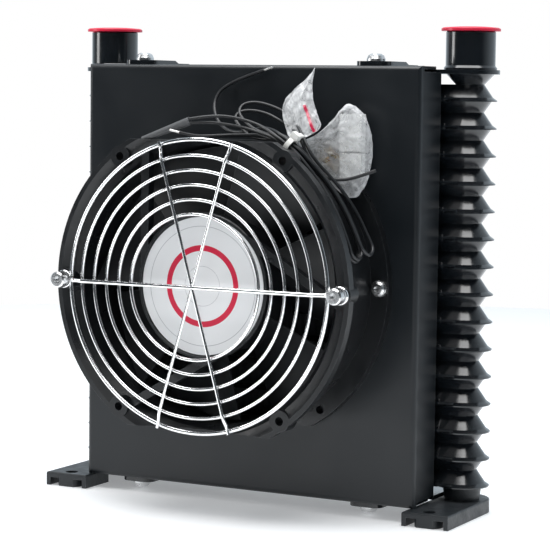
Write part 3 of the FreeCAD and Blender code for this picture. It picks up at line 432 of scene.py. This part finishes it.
# the points of each lead's route, from the sleeve through the tie and the folds to its end
UPPER_LEAD = [
    (-0.0089, -0.0460, 0.2074), (0.0000, -0.0434, 0.2090), (0.0085, -0.0395, 0.2092),
    (0.0165, -0.0355, 0.2076), (0.0240, -0.0336, 0.2052), (0.0318, -0.0368, 0.2026),
    (0.0395, -0.0406, 0.1990), (0.0451, -0.0400, 0.1949), (0.0499, -0.0395, 0.1914),
    (0.0547, -0.0391, 0.1860), (0.0638, -0.0372, 0.1749), (0.0722, -0.0374, 0.1618),
    (0.0790, -0.0385, 0.1472), (0.0809, -0.0385, 0.1410), (0.0816, -0.0320, 0.1374),
    (0.0809, -0.0255, 0.1410), (0.0790, -0.0255, 0.1472), (0.0725, -0.0264, 0.1620),
    (0.0645, -0.0292, 0.1754), (0.0556, -0.0336, 0.1869), (0.0508, -0.0365, 0.1929),
    (0.0460, -0.0370, 0.1964), (0.0404, -0.0376, 0.2006), (0.0317, -0.0345, 0.1998),
    (0.0217, -0.0315, 0.2022), (0.0132, -0.0270, 0.2062), (0.0066, -0.0226, 0.2112),
    (0.0074, -0.0184, 0.2156), (0.0146, -0.0160, 0.2166), (0.0259, -0.0164, 0.2137),
    (0.0310, -0.0150, 0.2106), (0.0380, -0.0180, 0.2062), (0.0462, -0.0280, 0.2018),
    (0.0512, -0.0310, 0.1950), (0.0560, -0.0312, 0.1876), (0.0652, -0.0242, 0.1760),
    (0.0736, -0.0190, 0.1626), (0.0807, -0.0175, 0.1478),
    (0.0833, -0.0175, 0.1430), (0.0842, -0.0240, 0.1394),
    (0.0833, -0.0305, 0.1430), (0.0807, -0.0305, 0.1478), (0.0737, -0.0308, 0.1627),
    (0.0652, -0.0328, 0.1760), (0.0559, -0.0364, 0.1873), (0.0509, -0.0385, 0.1928),
    (0.0461, -0.0390, 0.1963), (0.0405, -0.0396, 0.2005), (0.0323, -0.0332, 0.2028),
    (0.0240, -0.0290, 0.2036), (0.0120, -0.0246, 0.2006), (-0.0015, -0.0195, 0.2010),
    (-0.0110, -0.0135, 0.2064), (-0.0172, -0.0066, 0.2146), (-0.0154, -0.0030, 0.2224),
    (-0.0074, -0.0022, 0.2270), (0.0024, -0.0022, 0.2306), (0.0110, -0.0022, 0.2332)]
LOWER_LEAD = [
    (-0.0085, -0.0456, 0.2054), (0.0000, -0.0424, 0.2060), (0.0080, -0.0386, 0.2050),
    (0.0165, -0.0356, 0.2036), (0.0250, -0.0362, 0.2016), (0.0320, -0.0384, 0.2002),
    (0.0384, -0.0396, 0.1977), (0.0440, -0.0390, 0.1936), (0.0488, -0.0385, 0.1900),
    (0.0534, -0.0376, 0.1844), (0.0621, -0.0352, 0.1734), (0.0699, -0.0348, 0.1606),
    (0.0763, -0.0355, 0.1464), (0.0782, -0.0355, 0.1395), (0.0789, -0.0290, 0.1360),
    (0.0782, -0.0225, 0.1395), (0.0763, -0.0225, 0.1464), (0.0702, -0.0238, 0.1607),
    (0.0627, -0.0272, 0.1740), (0.0543, -0.0321, 0.1854), (0.0497, -0.0355, 0.1916),
    (0.0449, -0.0360, 0.1951), (0.0393, -0.0366, 0.1992), (0.0302, -0.0336, 0.1974),
    (0.0177, -0.0295, 0.1986), (0.0112, -0.0280, 0.2033), (0.0069, -0.0262, 0.2072),
    (0.0062, -0.0236, 0.2100), (0.0088, -0.0210, 0.2119), (0.0141, -0.0190, 0.2121),
    (0.0220, -0.0190, 0.2106), (0.0289, -0.0200, 0.2076), (0.0331, -0.0186, 0.2049),
    (0.0396, -0.0222, 0.2020), (0.0468, -0.0302, 0.1996), (0.0506, -0.0308, 0.1914),
    (0.0545, -0.0292, 0.1850), (0.0619, -0.0236, 0.1734), (0.0689, -0.0192, 0.1600),
    (0.0744, -0.0180, 0.1460),
    (0.0755, -0.0180, 0.1406), (0.0762, -0.0245, 0.1372), (0.0755, -0.0310, 0.1406),
    (0.0744, -0.0310, 0.1460), (0.0689, -0.0308, 0.1600), (0.0615, -0.0320, 0.1730),
    (0.0532, -0.0350, 0.1842), (0.0487, -0.0365, 0.1901), (0.0439, -0.0370, 0.1937),
    (0.0383, -0.0376, 0.1978), (0.0325, -0.0364, 0.1982), (0.0265, -0.0336, 0.1998),
    (0.0180, -0.0330, 0.1996), (0.0090, -0.0366, 0.1994), (0.0010, -0.0406, 0.1989),
    (-0.0060, -0.0454, 0.1986), (-0.0130, -0.0496, 0.2006)]
EARTH_LEAD = [
    (0.0495, -0.0360, 0.1895), (0.0535, -0.0320, 0.1830), (0.0590, -0.0260, 0.1786),
    (0.0660, -0.0215, 0.1774), (0.0750, -0.0190, 0.1794), (0.0835, -0.0170, 0.1828)]

lead_pvc = finish_of("lead_pvc", LEAD_BLACK, roughness=0.36, grain=500, wave=120, depth=0.00003,
                     edge_wear_and_highlight=(0.05, 0.052, 0.056), spread=0.14)
tinned_strands = finish_of("tinned_strands", TINNED, roughness=0.34, grain=1600, wave=300, depth=0.00012,
                           edge_wear_and_highlight=(0.62, 0.40, 0.26), metal=1)


def lay_lead(name, places):
    """A lead along its route, one smooth spline, in its PVC."""
    line = bpy.data.curves.new(name, "CURVE")
    line.dimensions = "3D"
    line.bevel_depth, line.bevel_resolution, line.resolution_u = LEAD_RADIUS, 3, 6
    line.use_fill_caps = True
    spline = line.splines.new("NURBS")
    spline.points.add(len(places) - 1)
    for point, place in zip(spline.points, places):
        point.co = (*place, 1)
    spline.order_u = 3
    spline.use_endpoint_u = True
    lead = bpy.data.objects.new(name, line)
    bpy.context.scene.collection.objects.link(lead)
    line.materials.append(lead_pvc)
    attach(lead, "core")
    return lead


upper_lead = lay_lead("upper_fan_lead", UPPER_LEAD)
lower_lead = lay_lead("lower_fan_lead", LOWER_LEAD)
earth_lead = lay_lead("earth_lead", EARTH_LEAD)
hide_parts("lead_run_upper", "lead_tail_upper", "lead_hank", "lead_loops")
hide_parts("lead_run_lower", "lead_tail_lower")
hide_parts("earth_lead_end")
dress(tinned_strands, "lead_tips")
sleeve_rubber = finish_of("sleeve_rubber", SLEEVE_GREY, roughness=0.55, grain=900, wave=260, depth=0.00025,
                          edge_wear_and_highlight=(0.16, 0.165, 0.17))
dress(sleeve_rubber, "lead_sleeve")
tie_nylon = finish_of("tie_nylon", TIE_WHITE, roughness=0.4, grain=500, wave=90, depth=0.00003, spread=0.1)
dress(tie_nylon, "cable_tie")

# ---- bag of spares --------------------------------------------------------------------
# A small clear polythene zip bag, its neck gathered into the cable tie: the mouth, with
# its red zip line, stands up folded, and the pouch sags with a connector's shells and
# brass terminals in it.

FILM_CLEAR, ZIP_RED = (0.90, 0.92, 0.94), (0.55, 0.02, 0.07)
SHELL_WHITE, BRASS = (0.95, 0.96, 0.94), (0.78, 0.56, 0.22)
# the two connector shells: left, right, underside and top, then their middle and half depth
SHELL_BOXES = ((0.0605, 0.0730, 0.1920, 0.2110), (0.0610, 0.0730, 0.1785, 0.1910))
SHELL_MIDDLE, SHELL_HALF = -0.0102, 0.0029
COWL_FACE = -0.0012                             # the film stays in front of it
TIE_PLACE = Vector((0.0455, -0.028, 0.1972))    # where the creases start
ZIP_PLACE, ZIP_TILT = (0.0468, 0, 0.2086), math.radians(28.5)
ZIP_HALF_WIDTH, ZIP_HALF_LENGTH = 0.00055, 0.0078
ROUND = 40                                      # points round the film at each station
# each station of the film: its lower or left edge, its upper or right edge, its fold's
# lean towards the fan, and half the gap between its two layers
MOUTH = [
    ((0.0436, -0.0080, 0.2344), (0.0440, -0.0080, 0.2348), 0.0002, 0.0002),
    ((0.0400, -0.0120, 0.2278), (0.0436, -0.0110, 0.2282), 0.0010, 0.0004),
    ((0.0336, -0.0158, 0.2222), (0.0454, -0.0140, 0.2204), 0.0024, 0.0006),
    ((0.0294, -0.0180, 0.2152), (0.0478, -0.0152, 0.2140), 0.0036, 0.0008),
    ((0.0316, -0.0200, 0.2086), (0.0510, -0.0162, 0.2088), 0.0042, 0.0010),
    ((0.0346, -0.0222, 0.2018), (0.0534, -0.0174, 0.2040), 0.0042, 0.0012),
    ((0.0388, -0.0254, 0.1974), (0.0500, -0.0206, 0.2006), 0.0026, 0.0014),
    ((0.0436, -0.0290, 0.1966), (0.0474, -0.0272, 0.1986), 0.0006, 0.0014)]
NECK = [
    ((0.0442, -0.0310, 0.1964), (0.0464, -0.0310, 0.1980), 0.0, 0.0012),
    ((0.0444, -0.0322, 0.1960), (0.0468, -0.0318, 0.1972), 0.0, 0.0012)]
POUCH = [
    ((0.0440, -0.0240, 0.1948), (0.0474, -0.0230, 0.1978), 0.0, 0.0018),
    ((0.0444, -0.0170, 0.1906), (0.0496, -0.0160, 0.2004), 0.0, 0.0026),
    ((0.0482, -0.0130, 0.1830), (0.0532, -0.0126, 0.2040), 0.0, 0.0036),
    ((0.0536, -0.0112, 0.1768), (0.0578, -0.0110, 0.2098), 0.0, 0.0042),
    ((0.0594, -0.0104, 0.1712), (0.0614, -0.0104, 0.2150), 0.0, 0.0044),
    ((0.0656, -0.0100, 0.1672), (0.0650, -0.0100, 0.2172), 0.0, 0.0044),
    ((0.0702, -0.0098, 0.1684), (0.0706, -0.0098, 0.2134), 0.0, 0.0042),
    ((0.0742, -0.0096, 0.1746), (0.0754, -0.0096, 0.2066), 0.0, 0.0034),
    ((0.0772, -0.0094, 0.1836), (0.0782, -0.0094, 0.1948), 0.0, 0.0004)]


def film_ring(low, high, lean, gap):
    """One closed ring of film between its two edges, near layer and then far layer."""
    low, high, ring = Vector(low), Vector(high), []
    for step in range(ROUND):
        turn = 2 * math.pi * step / ROUND
        across, side = math.cos(turn), math.sin(turn)
        place = low.lerp(high, (1 - across) / 2)
        fold = lean * max(0.0, 1 - abs(across + 0.25) / 0.9)
        full = gap * math.copysign(abs(side) ** 0.6, side)
        place.y -= full + fold
        ring.append(place)
    return ring


def held_off(place):
    """Keeps the film off the shells: it is stretched over their corners."""
    for left, right, under, top in SHELL_BOXES:
        away = math.hypot(max(left - place.x, 0, place.x - right),
                          max(under - place.z, 0, place.z - top))
        needed = SHELL_HALF - 0.8 * away
        offset = place.y - SHELL_MIDDLE
        if needed > abs(offset):
            place.y = SHELL_MIDDLE + math.copysign(needed, offset or -1)
    return place


def gathered(place):
    """Creases that run out from the neck, and crumples all over."""
    out = place - TIE_PLACE
    reach = out.length
    if reach < 0.004:
        return place
    way = out.normalized()
    ridge = 1 - abs(noise.noise(way * 9 + Vector((0, 0, reach * 30))))
    crumple = noise.noise(place * 260) + 0.5 * abs(noise.noise(place * 620))
    amount = min(1.0, reach / 0.02)
    place.y += amount * (0.0016 * (ridge - 0.75) + 0.0007 * crumple)
    place.z += amount * 0.0005 * noise.noise(place * 330 + Vector((7, 1, 3)))
    return place


def make_film():
    """The whole bag as one skin, from the mouth through the neck to the sealed end."""
    stations = MOUTH + NECK + POUCH
    rings = [film_ring(*station) for station in stations]
    verts = [place for ring in rings for place in ring]
    faces = [(r * ROUND + i, r * ROUND + (i + 1) % ROUND,
              (r + 1) * ROUND + (i + 1) % ROUND, (r + 1) * ROUND + i)
             for r in range(len(rings) - 1) for i in range(ROUND)]
    faces += [tuple(range(ROUND))[::-1], tuple(range(len(verts) - ROUND, len(verts)))]
    mesh = bpy.data.meshes.new("film_bag")
    mesh.from_pydata(verts, [], faces)
    bag = bpy.data.objects.new("film_bag", mesh)
    bpy.context.scene.collection.objects.link(bag)
    deselect_all()
    bag.select_set(True)
    bpy.context.view_layer.objects.active = bag
    bpy.ops.object.mode_set(mode="EDIT")
    bpy.ops.mesh.select_all(action="SELECT")
    bpy.ops.mesh.normals_make_consistent(inside=False)
    bpy.ops.object.mode_set(mode="OBJECT")
    finer = bag.modifiers.new("finer", "SUBSURF")
    finer.levels = finer.render_levels = 2
    bpy.ops.object.modifier_apply(modifier="finer")
    for vertex in bag.data.vertices:
        place = held_off(gathered(vertex.co.copy()))
        place.y = min(place.y, COWL_FACE)
        vertex.co = place
    bpy.ops.object.shade_smooth()
    return bag


def clear_film():
    """Thin clear film: hazy where it is creased, with a painted sheen that turns it whiter at a glancing
    view, one red zip line.
    """
    material, tree, shader = new_material("clear_film")
    place = put(tree, "TexCoord")
    centred = put(tree, "Mapping", {"Location": [-value for value in ZIP_PLACE]})
    zip_way = put(tree, "VectorRotate", {"Axis": (0, 1, 0), "Angle": ZIP_TILT}, rotation_type="AXIS_ANGLE")
    split = put(tree, "SeparateXYZ")
    across = put(tree, "Math", operation="ABSOLUTE")
    along = put(tree, "Math", operation="ABSOLUTE")
    thin = put(tree, "Math", {1: ZIP_HALF_WIDTH}, operation="LESS_THAN")
    short = put(tree, "Math", {1: ZIP_HALF_LENGTH}, operation="LESS_THAN")
    zip_line = put(tree, "Math", operation="MULTIPLY")
    join(tree, (place.outputs["Object"], centred.inputs["Vector"]),
         (centred.outputs[0], zip_way.inputs["Vector"]),
         (zip_way.outputs[0], split.inputs[0]), (split.outputs["X"], across.inputs[0]),
         (split.outputs["Z"], along.inputs[0]), (across.outputs[0], thin.inputs[0]),
         (along.outputs[0], short.inputs[0]), (thin.outputs[0], zip_line.inputs[0]),
         (short.outputs[0], zip_line.inputs[1]))
    crease = put(tree, "TexNoise", {"Scale": 190, "Detail": 5, "Roughness": 0.55, "Distortion": 1.6})
    ridge = put(tree, "MapRange", {"From Min": 0.40, "From Max": 0.66, "To Min": 0.0, "To Max": 1.0})
    glance = put(tree, "LayerWeight", {"Blend": 0.35})
    haze = put(tree, "MapRange", {"To Min": 0.22, "To Max": 0.50})
    # a painted sheen: more white opacity where the film is seen at a glance
    painted_sheen = put(tree, "Math", {1: 0.6}, operation="MULTIPLY")
    seen = put(tree, "Math", operation="ADD", use_clamp=True)
    solid = put(tree, "Math", operation="MAXIMUM")
    bump = put(tree, "Bump", {"Distance": 0.0005, "Strength": 0.7})
    ink = mix_colours(tree, FILM_CLEAR, ZIP_RED)
    join(tree, (place.outputs["Object"], crease.inputs["Vector"]), (crease.outputs[0], ridge.inputs["Value"]),
         (ridge.outputs[0], haze.inputs["Value"]), (glance.outputs["Facing"], painted_sheen.inputs[0]),
         (haze.outputs[0], seen.inputs[0]), (painted_sheen.outputs[0], seen.inputs[1]),
         (seen.outputs[0], solid.inputs[0]),
         (zip_line.outputs[0], solid.inputs[1]), (solid.outputs[0], shader.inputs["Alpha"]),
         (zip_line.outputs[0], ink.inputs[MIX]), (ink.outputs[MIXED], shader.inputs["Base Color"]),
         (crease.outputs[0], bump.inputs["Height"]), (bump.outputs[0], shader.inputs["Normal"]))
    shader.inputs["Roughness"].default_value = 0.16
    shader.inputs["Specular IOR Level"].default_value = 0.9
    return material


film_bag = make_film()
film_bag.data.materials.append(clear_film())
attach(film_bag, "core")
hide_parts("spares_bag")
shell_nylon = finish_of("shell_nylon", SHELL_WHITE, roughness=0.38, grain=400, wave=90, depth=0.00004,
                        spread=0.1)
dress(shell_nylon, "spare_shells")
terminal_brass = finish_of("terminal_brass", BRASS, roughness=0.24, grain=900, wave=200, depth=0.00004,
                           edge_wear_and_highlight=(0.85, 0.72, 0.42), metal=1)
dress(terminal_brass, "spare_terminals")
